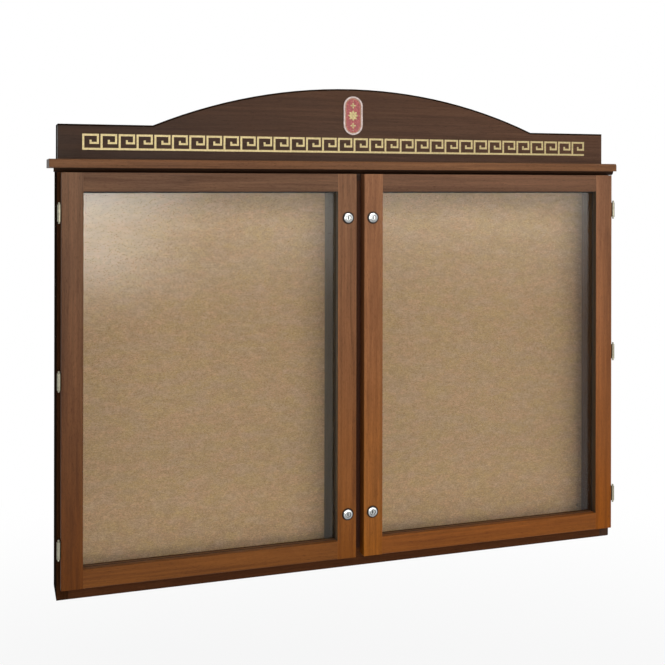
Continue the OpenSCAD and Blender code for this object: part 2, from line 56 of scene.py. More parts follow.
class Graph:
    """A material's node graph, written as expressions."""

    def __init__(self, name):
        self.material = bpy.data.materials.new(name)
        self.material.use_nodes = True
        self.tree = self.material.node_tree
        self.tree.nodes.clear()
        self.output = self.tree.nodes.new("ShaderNodeOutputMaterial")
        self.coordinates = self.node("ShaderNodeTexCoord")
        self.point = self.coordinates.outputs["Object"]

    def node(self, kind, **settings):
        n = self.tree.nodes.new(kind)
        for key, value in settings.items():
            setattr(n, key, value)
        return n

    def plug(self, socket, value):
        if isinstance(value, bpy.types.NodeSocket):
            self.tree.links.new(value, socket)
        else:
            socket.default_value = value

    def call(self, kind, *values, **settings):
        """A node with its first inputs plugged; returns its first output."""
        n = self.node(kind, **settings)
        for socket, value in zip(n.inputs, values):
            self.plug(socket, value)
        return n.outputs[0]

    def math(self, operation, *values, clamp=False):
        return self.call("ShaderNodeMath", *values, operation=operation, use_clamp=clamp)

    def hypot(self, a, b):
        total = self.math("ADD", self.math("POWER", a, 2.0), self.math("POWER", b, 2.0))
        return self.math("SQRT", total)

    def vmath(self, operation, *values):
        n = self.node("ShaderNodeVectorMath", operation=operation)
        for socket, value in zip(n.inputs, values):
            self.plug(socket, value)
        return n.outputs["Value"] if operation in ("LENGTH", "DOT_PRODUCT") else n.outputs[0]

    def scaled(self, vector, scale, offset=(0, 0, 0)):
        n = self.node("ShaderNodeMapping")
        self.plug(n.inputs["Vector"], vector)
        n.inputs["Location"].default_value = offset
        n.inputs["Scale"].default_value = scale
        return n.outputs[0]

    def noise(self, vector, scale=1.0, detail=3.0, rough=0.5, distortion=0.0):
        n = self.node("ShaderNodeTexNoise")
        self.plug(n.inputs["Vector"], vector)
        n.inputs["Scale"].default_value = scale
        n.inputs["Detail"].default_value = detail
        n.inputs["Roughness"].default_value = rough
        n.inputs["Distortion"].default_value = distortion
        return n.outputs[0]

    def noise_offset(self, vector, scale):
        """A noise colour, less its middle grey, as a vector."""
        n = self.node("ShaderNodeTexNoise")
        self.plug(n.inputs["Vector"], vector)
        n.inputs["Scale"].default_value = scale
        return self.vmath("SUBTRACT", n.outputs["Color"], (0.5, 0.5, 0.5))

    def cell_edge(self, vector, scale):
        """The distance to the nearest edge between cells."""
        n = self.node("ShaderNodeTexVoronoi", feature="DISTANCE_TO_EDGE")
        self.plug(n.inputs["Vector"], vector)
        n.inputs["Scale"].default_value = scale
        return n.outputs["Distance"]

    def step(self, value, low, high, to_low=0.0, to_high=1.0, smooth=True):
        n = self.node("ShaderNodeMapRange", clamp=True)
        n.interpolation_type = "SMOOTHSTEP" if smooth else "LINEAR"
        self.plug(n.inputs["Value"], value)
        ends = {"From Min": low, "From Max": high, "To Min": to_low, "To Max": to_high}
        for key, end in ends.items():
            n.inputs[key].default_value = end
        return n.outputs["Result"]

    def mix(self, factor, a, b, blend="MIX"):
        n = self.node("ShaderNodeMix", data_type="RGBA", blend_type=blend)
        # Inputs 6 and 7 and output 2 are the ones for colours; their names aren't unique.
        for index, value in ((0, factor), (6, a), (7, b)):
            self.plug(n.inputs[index], value)
        return n.outputs[2]

    def tint(self, colour, by, factor=1.0):
        """The colour multiplied by another."""
        return self.mix(factor, colour, by, "MULTIPLY")

    def shade(self, colour, level):
        """The colour multiplied by a number."""
        return self.tint(colour, self.vector(level, level, level))

    def xyz(self, vector):
        n = self.node("ShaderNodeSeparateXYZ")
        self.plug(n.inputs[0], vector)
        return n.outputs

    def vector(self, x, y, z):
        return self.call("ShaderNodeCombineXYZ", x, y, z)

    def bump(self, height, strength, distance, normal=None):
        n = self.node("ShaderNodeBump")
        self.plug(n.inputs["Height"], height)
        n.inputs["Strength"].default_value = strength
        n.inputs["Distance"].default_value = distance
        if normal is not None:
            self.plug(n.inputs["Normal"], normal)
        return n.outputs[0]

    def edge(self, radius):
        """0 on flat faces, up to 1 along sharp edges, and the softened normal."""
        bevel = self.node("ShaderNodeBevel", samples=4)
        bevel.inputs["Radius"].default_value = radius
        normal = self.node("ShaderNodeNewGeometry").outputs["Normal"]
        facing = self.vmath("DOT_PRODUCT", bevel.outputs[0], normal)
        return self.step(facing, 0.995, 0.75, smooth=False), bevel.outputs[0]

    def principled(self, **inputs):
        n = self.node("ShaderNodeBsdfPrincipled")
        for key, value in inputs.items():
            self.plug(n.inputs[key.replace("_", " ")], value)
        self.surface(n.outputs[0])
        return n.outputs[0]

    def surface(self, shader):
        self.tree.links.new(shader, self.output.inputs["Surface"])


def put_on(material, *names):
    for name in names:
        slots = NODES[name].data.materials
        slots.clear()
        slots.append(material)


# Places and sizes of the locks and hinges, for the painted shade and shadow round them.

lo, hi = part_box("left_lock_bodies")
LOCK_X = -(lo.x + hi.x) / 2
LOCK_MID = (lo.z + hi.z) / 2
LOCK_HALF = (hi.z - lo.z - (hi.x - lo.x)) / 2
BALL_R = 2.5 * MM
HINGE_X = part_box("hinge_pins")[1].x - BALL_R
BEZEL_R = 12.5 * MM
PLUG_R = 6 * MM
KEYWAY_HALF_W, KEYWAY_HALF_H = 0.8 * MM, 3.75 * MM
KNUCKLE_R = 4 * MM


def lock_offsets(g):
    """Offsets in X and Z from the centre of the nearest lock."""
    x, _, z = g.xyz(g.point)
    dz = g.math("SUBTRACT", g.math("ABSOLUTE", g.math("SUBTRACT", z, LOCK_MID)), LOCK_HALF)
    return g.math("SUBTRACT", g.math("ABSOLUTE", x), LOCK_X), dz


def lock_distance(g):
    dx, dz = lock_offsets(g)
    return g.hypot(dx, dz)


# Wood.

# The turn that brings each grain direction to X.
GRAIN = {"X": (0, 0, 0), "Z": (0, math.pi / 2, 0)}
GRAIN_SPREAD = 0.16
EDGE_WEAR = 0.3
# What the board's tone is multiplied by in its darkest and lightest grain, in its fine lines and
# pores, on its end grain and where an edge is rubbed bare.
DARK, LIGHT = (0.62, 0.55, 0.5, 1), (1.3, 1.25, 1.16, 1)
LINES, PORES = (0.55, 0.45, 0.4, 1), (0.25, 0.2, 0.17, 1)
END_GRAIN, BARE = (0.2, 0.17, 0.15, 1), (1.9, 1.8, 1.6, 1)
# Painted shadow: the dark ring on the wood round each lock.
LOCK_SHADOW = (26, 15, 9)
# Painted light: the header panel is painted darker at its left end and lighter at its right.
HEADER_X, HEADER_LIGHT = (-0.72, 0.72), (0.55, 1.46)
# Painted shade on the faces turned to the left: their tones at the top and bottom. The stiles'
# are greyer at the top as a painted reflection.
SHADED = {
    "case_side_left": ((32, 24, 18), (32, 24, 18)),
    "left_lock_stile": ((112, 108, 100), (100, 84, 64)),
    "right_hinge_stile": ((84, 74, 64), (78, 60, 42)),
}
# Painted shade on the linings of the bays: which way each lining faces; 0 for both ways.
LINING = {"case_side_left": 1, "case_side_right": -1, "post_sides": 0}
LINING_Y, LINING_SHADE = (-0.1, -0.015), (0.34, 2.4)


def wood(board, axis, seed, top, bottom, z_range, shine):
    """Varnished hardwood, its grain along one axis; top and bottom are its tones over z_range."""
    g = Graph(f"wood_{board}")
    x, y, z = g.xyz(g.point)
    normal = g.xyz(g.coordinates.outputs["Normal"])
    turn = g.node("ShaderNodeMapping")
    g.plug(turn.inputs["Vector"], g.point)
    turn.inputs["Rotation"].default_value = GRAIN[axis]
    turn.inputs["Location"].default_value = (seed * 1.37, seed * 0.71, seed * 0.53)
    p = turn.outputs[0]
    # The grain wanders slowly from side to side.
    sway = g.math("SUBTRACT", g.noise(g.scaled(p, (2.3, 7, 7)), 1.0, 2.0), 0.5)
    drift = g.vector(0.0, g.math("MULTIPLY", sway, 0.03), g.math("MULTIPLY", sway, 0.012))
    p = g.vmath("ADD", p, drift)
    ribbon = g.noise(g.scaled(p, (1.1, 30, 30)), 1.0, 2.0, 0.5)
    streaks = g.noise(g.scaled(p, (2.4, 150, 150)), 1.0, 5.0, 0.62)
    fine = g.noise(g.scaled(p, (14, 700, 700)), 1.0, 4.0, 0.6)
    pores = g.step(g.noise(g.scaled(p, (95, 1700, 1700)), 1.0, 2.0, 0.5), 0.57, 0.68)
    blotch = g.noise(g.point, 5.0 + (0.3 * seed) % 1, 2.0, 0.5)
    rise = g.step(z, *z_range, smooth=False)
    height = g.math("ADD", rise, g.math("MULTIPLY", g.math("SUBTRACT", blotch, 0.5), 0.25))
    height = g.math("MULTIPLY", height, 1.0, clamp=True)
    tone = g.mix(height, linear(bottom), linear(top))
    grain = g.math("ADD", g.math("MULTIPLY", streaks, 0.55), g.math("MULTIPLY", ribbon, 0.45))
    grain = g.step(grain, 0.5 - GRAIN_SPREAD, 0.5 + GRAIN_SPREAD, smooth=False)
    colour = g.mix(grain, g.tint(tone, DARK), g.tint(tone, LIGHT))
    colour = g.tint(colour, LINES, g.step(fine, 0.35, 0.7, 0.0, 0.38))
    colour = g.tint(colour, PORES, g.math("MULTIPLY", pores, 0.55))
    # Painted light along the header, darker at the left.
    if board == "header_panel":
        colour = g.shade(colour, g.step(x, *HEADER_X, *HEADER_LIGHT, smooth=False))
    along = normal["XYZ".index(axis)]
    ends = g.step(g.math("ABSOLUTE", along), 0.6, 0.85)
    colour = g.mix(ends, colour, g.tint(tone, END_GRAIN))
    if board in LINING:
        # Painted light and shade: the linings are palest beside the felt and painted darker to the
        # front.
        facing = LINING[board]
        if facing:
            inward = g.math("MULTIPLY", normal[0], facing)
        else:
            inward = g.math("ABSOLUTE", normal[0])
        lining_shade = g.shade(colour, g.step(y, *LINING_Y, *LINING_SHADE, smooth=False))
        colour = g.mix(g.step(inward, 0.5, 0.9), colour, lining_shade)
    # Painted shade on the faces turned to the left.
    if board in SHADED:
        high, low = SHADED[board]
        leftward = g.math("MULTIPLY", normal[0], -1.0)
        shaded = g.mix(rise, linear(low), linear(high))
        colour = g.mix(g.step(leftward, 0.5, 0.9, 0.0, 0.95), colour, shaded)
    # Painted shadow round each lock's bezel.
    if board.endswith("lock_stile"):
        ring = g.step(lock_distance(g), BEZEL_R + 1.1 * MM, BEZEL_R + 4.1 * MM, 0.95, 0.0)
        colour = g.mix(ring, colour, linear(LOCK_SHADOW))
    edge, soft = g.edge(1.2 * MM)
    worn = g.math("MULTIPLY", edge, g.step(g.noise(g.point, 38.0, 4.0, 0.7), 0.42, 0.7))
    colour = g.mix(g.math("MULTIPLY", worn, EDGE_WEAR), colour, g.tint(tone, BARE))
    height = g.math("ADD", g.math("MULTIPLY", fine, 0.5), g.math("MULTIPLY", pores, -0.8))
    uneven = g.math("SUBTRACT", g.math("ADD", streaks, blotch), 1.0)
    roughness = g.math("ADD", 0.5, g.math("MULTIPLY", uneven, 0.22))
    g.principled(
        Base_Color=colour,
        Roughness=roughness,
        Specular_IOR_Level=shine,
        Normal=g.bump(height, 0.25, 0.3 * MM, soft),
    )
    return g.material


# Display colours of each board at its top and bottom. They hold painted light: the tops are greyer
# as a painted reflection, the boards on the right are painted lighter than those on the left, and
# the moulding under the cornice, the case's top and the boards between the bays are painted darker
# as shade.
BOARDS = {
    "left_hinge_stile": ("Z", (110, 82, 63), (96, 52, 8)),
    "left_lock_stile": ("Z", (134, 98, 73), (124, 72, 18)),
    "right_lock_stile": ("Z", (144, 102, 74), (139, 83, 22)),
    "right_hinge_stile": ("Z", (134, 96, 72), (135, 75, 12)),
    "left_top_rail": ("X", (108, 79, 59), (108, 79, 59)),
    "right_top_rail": ("X", (109, 79, 60), (109, 79, 60)),
    "left_bottom_rail": ("X", (118, 72, 30), (112, 68, 26)),
    "right_bottom_rail": ("X", (132, 78, 30), (126, 74, 26)),
    "cornice": ("X", (120, 84, 57), (116, 80, 53)),
    "cornice_moulding": ("X", (44, 28, 18), (38, 24, 15)),
    "header_panel": ("X", (79, 54, 38), (71, 51, 39)),
    "case_bottom": ("X", (80, 46, 22), (70, 40, 19)),
    "case_top": ("X", (58, 38, 25), (48, 31, 20)),
    "case_side_left": ("Z", (72, 46, 30), (60, 36, 20)),
    "case_side_right": ("Z", (104, 84, 66), (64, 42, 26)),
    "post_sides": ("Z", (92, 86, 74), (50, 44, 28)),
    "post_web": ("Z", (52, 32, 18), (44, 26, 14)),
    "keeper_board": ("Z", (66, 36, 18), (54, 26, 10)),
    "back_panel": ("Z", (120, 92, 62), (112, 84, 54)),
    "case_dowels": ("X", (196, 164, 122), (196, 164, 122)),
    "header_cap": ("X", (34, 24, 18), (30, 21, 15)),
    "header_ends": ("Z", (46, 34, 26), (42, 30, 22)),
    "left_upright_beads": ("Z", (118, 110, 98), (70, 52, 34)),
    "left_cross_beads": ("X", (136, 96, 62), (128, 84, 46)),
    "right_upright_beads": ("Z", (94, 78, 64), (70, 52, 34)),
    "right_cross_beads": ("X", (136, 96, 62), (128, 84, 46)),
}
# Boards lower than this have their tones spread past their own top and bottom.
TALL, FLAT_MARGIN = 0.5, 0.01
# How much each varnish mirrors; the weathered outer faces mirror least.
VARNISH = 0.12
DULL = {
    "case_side_left": 0.0,
    "header_ends": 0.0,
    "header_cap": 0.0,
    "case_bottom": 0.05,
    "cornice_moulding": 0.05,
}
for seed, (board, (axis, top, bottom)) in enumerate(BOARDS.items(), 1):
    lo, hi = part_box(board)
    margin = 0 if hi.z - lo.z > TALL else FLAT_MARGIN
    span = (lo.z - margin, hi.z + margin)
    put_on(wood(board, axis, seed, top, bottom, span, DULL.get(board, VARNISH)), board)


# Felt, glass, rubber.

lo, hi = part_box("pinboard_right")
BAY_X = (lo.x + hi.x) / 2


def felt():
    """Matted fibres, mottled in tan and grey."""
    g = Graph("pinboard_felt")
    tint = g.noise(g.scaled(g.point, (14, 14, 36), (4, 2, 9)), 1.0, 3.0, 0.55)
    grey = g.noise(g.scaled(g.point, (20, 20, 44), (1, 8, 3)), 1.0, 3.0, 0.55)
    mottle = g.noise(g.scaled(g.point, (55, 55, 120)), 1.0, 4.0, 0.6, 0.4)
    flock = g.noise(g.scaled(g.point, (150, 150, 330)), 1.0, 4.0, 0.7, 0.3)
    grit = g.noise(g.scaled(g.point, (420, 420, 560)), 1.0, 4.0, 0.7)
    curl = g.scaled(g.noise_offset(g.point, 90.0), (0.006, 0.006, 0.006))
    warped = g.vmath("ADD", g.point, curl)
    hairs_a = g.noise(g.scaled(warped, (260, 260, 2600)), 1.0, 2.0, 0.5)
    hairs_b = g.noise(g.scaled(warped, (2600, 260, 260), (3, 5, 7)), 1.0, 2.0, 0.5)
    fibres = g.math("MAXIMUM", g.step(hairs_a, 0.56, 0.68), g.step(hairs_b, 0.56, 0.68))
    colour = g.mix(g.step(tint, 0.38, 0.62), linear((187, 148, 94)), linear((196, 147, 108)))
    colour = g.mix(g.step(grey, 0.46, 0.64, 0.0, 0.6), colour, linear((188, 152, 128)))
    colour = g.mix(g.step(mottle, 0.36, 0.64, 0.0, 0.62), colour, linear((156, 119, 77)))
    colour = g.mix(g.step(flock, 0.4, 0.6, 0.0, 0.62), colour, linear((142, 107, 69)))
    colour = g.mix(g.step(grit, 0.45, 0.68, 0.0, 0.5), colour, linear((214, 180, 138)))
    colour = g.mix(g.math("MULTIPLY", fibres, 0.3), colour, linear((216, 184, 144)))
    # Painted light: each board is painted darker in its middle and lighter towards its edges.
    x, _, z = g.xyz(g.point)
    ends = g.step(g.math("ABSOLUTE", z), 0.2, 0.44, 0.93, 1.13)
    across = g.math("ABSOLUTE", g.math("SUBTRACT", g.math("ABSOLUTE", x), BAY_X))
    colour = g.shade(colour, g.math("MULTIPLY", ends, g.step(across, 0.2, 0.32, 1.0, 1.1)))
    height = g.math("ADD", g.math("MULTIPLY", flock, 0.7), g.math("MULTIPLY", fibres, 0.4))
    height = g.math("ADD", height, g.math("MULTIPLY", mottle, 1.2))
    g.principled(
        Base_Color=colour,
        Roughness=g.step(flock, 0.2, 0.8, 0.85, 1.0),
        Sheen_Weight=0.25,
        Sheen_Roughness=0.5,
        Normal=g.bump(height, 0.5, 0.8 * MM),
    )
    return g.material


put_on(felt(), "pinboard_left", "pinboard_right")


def glass():
    """Clear float glass with a trace of dust; light passes it to what is behind."""
    g = Graph("clear_glass")
    film = g.step(g.noise(g.point, 9.0, 5.0, 0.7), 0.45, 0.8)
    dust = g.math("MULTIPLY", film, g.noise(g.point, 260.0, 4.0, 0.7))
    wave = g.noise(g.point, 3.2, 1.0, 0.3)
    shader = g.principled(
        Base_Color=(0.955, 0.975, 0.965, 1),
        Roughness=g.math("MULTIPLY", dust, 0.05),
        IOR=1.28,
        Transmission_Weight=1.0,
        Normal=g.bump(wave, 0.02, 1 * MM),
    )
    clear = g.call("ShaderNodeBsdfTransparent", (0.93, 0.95, 0.94, 1))
    path = g.node("ShaderNodeLightPath")
    passing = g.math("MAXIMUM", path.outputs["Is Shadow Ray"], path.outputs["Is Diffuse Ray"])
    g.surface(g.call("ShaderNodeMixShader", passing, shader, clear))
    return g.material


put_on(glass(), "left_glass", "right_glass")


def rubber():
    """Black rubber, chalky in patches."""
    g = Graph("glazing_rubber")
    grit = g.noise(g.point, 900.0, 4.0, 0.6)
    chalk = g.step(g.noise(g.point, 20.0, 4.0, 0.6), 0.4, 0.75, 0.0, 0.5)
    colour = g.mix(chalk, linear((22, 22, 21)), linear((52, 50, 47)))
    g.principled(
        Base_Color=colour,
        Roughness=g.step(grit, 0.2, 0.8, 0.55, 0.8),
        Normal=g.bump(grit, 0.3, 0.2 * MM),
    )
    return g.material


RUBBER = rubber()
put_on(RUBBER, "left_seal", "right_seal")


# Metal.

# The noise scales of brushing along each axis, and of an unbrushed face.
BRUSHED = {"Y": (5200, 60, 5200), "Z": (5200, 5200, 60), None: (900, 900, 900)}


def metal(name, colour, worn, rough, brush, tarnish, edge_size, painted_shade=None):
    """Plated metal: fine brushing along one axis, patches of tarnish, rubbed edges, and painted
    shade where a function for it is given.
    """
    g = Graph(name)
    lines = g.noise(g.scaled(g.point, BRUSHED[brush]), 1.0, 3.0, 0.6)
    patches = g.noise(g.point, 130.0, 5.0, 0.65)
    specks = g.step(g.noise(g.point, 1500.0, 3.0, 0.6), 0.66, 0.74)
    edge, soft = g.edge(edge_size)
    tone = g.mix(g.step(patches, 0.42, 0.72, 0.0, tarnish), linear(colour), linear(worn))
    tone = g.mix(g.math("MULTIPLY", specks, 0.5 * tarnish), tone, linear([c * 0.45 for c in worn]))
    tone = g.mix(g.math("MULTIPLY", edge, 0.4), tone, linear([min(255, c * 1.12) for c in colour]))
    # Painted shade from the function given, where there is one.
    if painted_shade:
        mask, shade_tone = painted_shade(g, patches)
        tone = g.mix(mask, tone, linear(shade_tone))
    uneven = g.math("SUBTRACT", g.math("ADD", lines, patches), 1.0)
    roughness = g.math("ADD", rough, g.math("MULTIPLY", uneven, 0.25))
    g.principled(
        Base_Color=tone,
        Metallic=1.0,
        Roughness=roughness,
        Normal=g.bump(lines, 0.12, 0.1 * MM, soft),
    )
    return g.material


def bezel_shade(g, patches):
    """Painted shade, patchy: the bezel's outer band where it meets the wood, and the lower side of
    the dome.
    """
    down = g.math("MULTIPLY", g.xyz(g.coordinates.outputs["Normal"])[2], -1.0)
    rim = g.step(lock_distance(g), BEZEL_R - 2.9 * MM, BEZEL_R - 0.3 * MM)
    film = g.math("MAXIMUM", rim, g.step(down, -0.2, 0.6, 0.0, 0.7))
    return g.math("MULTIPLY", film, g.step(patches, 0.25, 0.6, 0.75, 1.0)), (40, 34, 28)


def plug_shade(g, patches):
    """Painted shade, patchy: the keyway with a little of the face beside it, and the seam round
    the plug.
    """
    dx, dz = (g.math("ABSOLUTE", offset) for offset in lock_offsets(g))
    across = g.step(dx, KEYWAY_HALF_W + 0.2 * MM, KEYWAY_HALF_W + 1.4 * MM, 1.0, 0.0)
    upright = g.step(dz, KEYWAY_HALF_H - 0.15 * MM, KEYWAY_HALF_H + 1.05 * MM, 1.0, 0.0)
    slot = g.math("MULTIPLY", across, upright)
    seam = g.step(lock_distance(g), PLUG_R - 0.8 * MM, PLUG_R, 0.0, 0.8)
    dark = g.math("MAXIMUM", slot, seam)
    return g.math("MULTIPLY", dark, g.step(patches, 0.3, 0.6, 0.75, 1.0)), (62, 66, 66)


def leaf_shadow(g, _):
    """Painted shadow on the leaves beside the barrel, between the barrel and the door's edge."""
    x = g.math("ABSOLUTE", g.xyz(g.point)[0])
    barrel = HINGE_X - KNUCKLE_R
    return g.step(x, barrel + 0.3 * MM, barrel + 0.9 * MM, 0.95, 0.0), (46, 32, 24)


# Clean and tarnished colours, roughness, direction of the brushing, tarnish, reach of the worn
# edges, and painted shade.
METALS = {
    "hinge_nickel": ((150, 146, 128), (98, 92, 74), 0.42, "Z", 0.5, 0.6 * MM, leaf_shadow),
    "zinc_screws": ((196, 196, 190), (130, 126, 116), 0.34, "Y", 0.4, 0.3 * MM),
    "bronzed_screws": ((58, 42, 30), (40, 30, 22), 0.5, "Y", 0.4, 0.3 * MM),
    "lock_chrome": ((206, 208, 208), (140, 140, 136), 0.2, None, 0.3, 0.4 * MM, bezel_shade),
    "lock_zinc": ((188, 190, 190), (110, 110, 106), 0.3, "Y", 0.4, 0.3 * MM, plug_shade),
}
hinge_metal, screw_metal, bronze, chrome, zinc = (
    metal(name, *values) for name, values in METALS.items()
)
put_on(hinge_metal, "case_leaves_left", "case_leaves_right", "hinge_pins")
put_on(hinge_metal, "left_door_leaves", "right_door_leaves")
put_on(bronze, "keeper_screws")
put_on(screw_metal, "cornice_screws", "header_screws")
put_on(screw_metal, "case_leaf_screws", "left_leaf_screws", "right_leaf_screws")
put_on(chrome, "left_lock_bodies", "right_lock_bodies")
put_on(screw_metal, "left_lock_nuts", "right_lock_nuts")
for side in ("left", "right"):
    for lock in ("upper", "lower"):
        put_on(zinc, f"{side}_{lock}_plug", f"{side}_{lock}_cam")
        put_on(screw_metal, f"{side}_{lock}_cam_screw")


# Plaque and gilding.

lo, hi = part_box("plaque")
PLAQUE_C = (lo + hi) / 2
PLAQUE_R = (hi.x - lo.x) / 2
PLAQUE_SPAN = (hi.z - lo.z) / 2 - PLAQUE_R
RIM = 4 * MM
FIELD_Y = lo.y + 1 * MM


def enamel():
    """A pale rim round a red field, both under clear enamel."""
    g = Graph("plaque_enamel")
    x, _, z = g.xyz(g.point)
    off_centre = g.math("ABSOLUTE", g.math("SUBTRACT", z, PLAQUE_C.z))
    dz = g.math("MAXIMUM", g.math("SUBTRACT", off_centre, PLAQUE_SPAN), 0.0)
    inner = PLAQUE_R - RIM
    rim = g.step(g.hypot(x, dz), inner - 0.3 * MM, inner + 0.1 * MM, smooth=False)
    cloud = g.noise(g.point, 160.0, 4.0, 0.6)
    craze = g.step(g.cell_edge(g.point, 420.0), 0.0, 0.06, 0.35, 0.0)
    red = g.mix(g.step(cloud, 0.3, 0.7), linear((128, 20, 22)), linear((164, 42, 40)))
    pale = g.mix(g.step(cloud, 0.3, 0.7), linear((186, 164, 158)), linear((208, 192, 186)))
    colour = g.tint(g.mix(rim, red, pale), (0.5, 0.4, 0.36, 1), craze)
    edge, soft = g.edge(0.6 * MM)
    colour = g.mix(g.math("MULTIPLY", edge, 0.3), colour, linear((120, 96, 80)))
    g.principled(
        Base_Color=colour,
        Roughness=g.step(cloud, 0.2, 0.8, 0.18, 0.34),
        Coat_Weight=0.25,
        Coat_Roughness=0.12,
        Normal=g.bump(cloud, 0.15, 0.3 * MM, soft),
    )
    return g.material


put_on(enamel(), "plaque")


def gilding():
    """Pale gold leaf, rubbed thin in places so that the wood's tone shows."""
    g = Graph("gold_leaf")
    leaf = g.noise(g.point, 240.0, 5.0, 0.6)
    rubbed = g.step(g.noise(g.scaled(g.point, (300, 900, 900)), 1.0, 4.0, 0.7), 0.6, 0.76)
    colour = g.mix(g.step(leaf, 0.3, 0.7), linear((158, 140, 94)), linear((190, 172, 124)))
    colour = g.mix(g.math("MULTIPLY", rubbed, 0.45), colour, linear((120, 92, 60)))
    g.principled(
        Base_Color=colour,
        Metallic=0.35,
        Roughness=g.step(leaf, 0.2, 0.8, 0.34, 0.5),
        Normal=g.bump(leaf, 0.3, 0.2 * MM),
    )
    return g.material


GOLD = gilding()


def piece(name, build, body="case", material=GOLD, smooth=False):
    """A piece whose mesh is made by build, riding on a body."""
    mesh = bpy.data.meshes.new(name)
    bm = bmesh.new()
    build(bm)
    bmesh.ops.recalc_face_normals(bm, faces=bm.faces)
    for face in bm.faces:
        face.smooth = smooth
    bm.to_mesh(mesh)
    bm.free()
    mesh.materials.append(material)
    obj = bpy.data.objects.new(name, mesh)
    bpy.context.scene.collection.objects.link(obj)
    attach(obj, body)


def stroke(bm, path, width, y_front, y_back):
    """A band of even width along a path of right-angled runs in X and Z, its corners mitred."""
    half = width / 2
    left, right = [], []
    for i, point in enumerate(path):
        p = Vector(point)
        before = (p - Vector(path[i - 1])).normalized() if i else None
        after = (Vector(path[i + 1]) - p).normalized() if i < len(path) - 1 else None
        if before is None or after is None:
            d = after if before is None else before
            normal = Vector((-d.y, d.x))
        else:
            normal = Vector((-before.y, before.x)) + Vector((-after.y, after.x))
        left.append(p + normal * half)
        right.append(p - normal * half)
    ring = left + right[::-1]
    front = [bm.verts.new((v.x, y_front, v.y)) for v in ring]
    back = [bm.verts.new((v.x, y_back, v.y)) for v in ring]
    n, m = len(ring), len(path)
    for i in range(m - 1):
        bm.faces.new((front[i], front[i + 1], front[n - 2 - i], front[n - 1 - i]))
        bm.faces.new((back[i + 1], back[i], back[n - 1 - i], back[n - 2 - i]))
    for i in range(n):
        j = (i + 1) % n
        bm.faces.new((front[j], front[i], back[i], back[j]))


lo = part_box("header_panel")[0]
FACE_Y = lo.y
BAND_LOW, BAND_HIGH = lo.z + 22 * MM, lo.z + 59 * MM
BAND_X = 659 * MM
BAND_LINE = 4.6 * MM
LEAF = 0.5 * MM
KEYS = 32


def key_band(bm):
    """A running key pattern: a base line with a square hook rising from it at each repeat."""
    half = BAND_LINE / 2
    faces = FACE_Y - LEAF, FACE_Y
    pitch = (2 * BAND_X - BAND_LINE) / (KEYS - 0.2)
    u, v = pitch / 5, (BAND_HIGH - BAND_LOW - BAND_LINE) / 4
    low, high = BAND_LOW + half, BAND_HIGH - half
    inner, tip = low + 1.7 * v, high - 1.4 * v
    stroke(bm, [(-BAND_X, low), (BAND_X, low)], BAND_LINE, *faces)
    for k in range(KEYS):
        x = -BAND_X + half + k * pitch
        far, near = x + 4 * u, x + 2 * u
        hook = [(x, low + half), (x, high), (far, high), (far, inner), (near, inner), (near, tip)]
        stroke(bm, hook, BAND_LINE, *faces)


piece("gilt_key_band", key_band)


# The lip's section in mm: how far it reaches over the glass, and how far it stands off.
LIP_SECTION = ((0, 0), (0, 1.6), (1.2, 1.4), (2.4, 0.5), (2.6, 0))


def seal_lip(side):
    """The glazing seal's narrow lip, in front of the glass all round the sight opening."""

    def build(bm):
        top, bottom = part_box(f"{side}_top_rail")[0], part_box(f"{side}_bottom_rail")[1]
        outer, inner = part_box(f"{side}_hinge_stile"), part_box(f"{side}_lock_stile")
        x0, x1 = sorted((outer[0].x, outer[1].x, inner[0].x, inner[1].x))[1:3]
        z0, z1 = bottom.z, top.z
        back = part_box(f"{side}_glass")[0].y
        rings = []
        for inset, rise in LIP_SECTION:
            inset, y = inset * MM, back - rise * MM
            # The lip shows least at the sides and the bottom, and most at the top, where its dark
            # rubber is also a painted shadow under the top rail.
            side_in, top_in = inset * 0.3, inset * 1.3
            low, high, left, right = z0 + side_in, z1 - top_in, x0 + side_in, x1 - side_in
            corners = ((left, low), (right, low), (right, high), (left, high))
            rings.append([bm.verts.new((x, y, z)) for x, z in corners])
        for a, b in zip(rings, rings[1:] + rings[:1]):
            for k in range(4):
                bm.faces.new((a[k], a[(k + 1) % 4], b[(k + 1) % 4], b[k]))

    return build


for side in ("left", "right"):
    piece(f"{side}_seal_lip", seal_lip(side), f"{side}_door", RUBBER)


def petal_ring(bm, centre, petals, inner, outer, width, depth, steps=10):
    """Petals round a centre on the plaque's field, each a low pointed dome."""
    for k in range(petals):
        a = 2 * math.pi * k / petals + math.pi / 2
        along, across = Vector((math.cos(a), math.sin(a))), Vector((-math.sin(a), math.cos(a)))
        rows = []
        for i in range(steps + 1):
            t = i / steps
            r = inner + (outer - inner) * t
            half = width / 2 * math.sin(math.pi * min(1.0, 0.08 + 0.92 * t)) ** 0.8 + 1e-5
            row = []
            for s in (-1, -0.5, 0, 0.5, 1):
                q = Vector(centre) + along * r + across * (half * s)
                rise = depth * (1 - s * s) * math.sin(math.pi * t * 0.9 + 0.15)
                row.append(bm.verts.new((q.x, FIELD_Y - rise - 0.15 * MM, q.y)))
            rows.append(row)
        for a, b in zip(rows, rows[1:]):
            for j in range(len(a) - 1):
                bm.faces.new((a[j], a[j + 1], b[j + 1], b[j]))


def boss(bm, centre, radius, depth, sides, steps=5):
    """A low round dome on the plaque's field."""
    rings = []
    for i in range(steps):
        a = i / steps * math.pi / 2
        ring = []
        for k in range(sides):
            t = 2 * math.pi * k / sides
            x = centre[0] + radius * math.cos(a) * math.cos(t)
            z = centre[1] + radius * math.cos(a) * math.sin(t)
            ring.append(bm.verts.new((x, FIELD_Y - depth * math.sin(a), z)))
        rings.append(ring)
    tip = bm.verts.new((centre[0], FIELD_Y - depth, centre[1]))
    for low, high in zip(rings, rings[1:]):
        for k in range(sides):
            bm.faces.new((low[k], low[(k + 1) % sides], high[(k + 1) % sides], high[k]))
    for k in range(sides):
        bm.faces.new((rings[-1][k], rings[-1][(k + 1) % sides], tip))


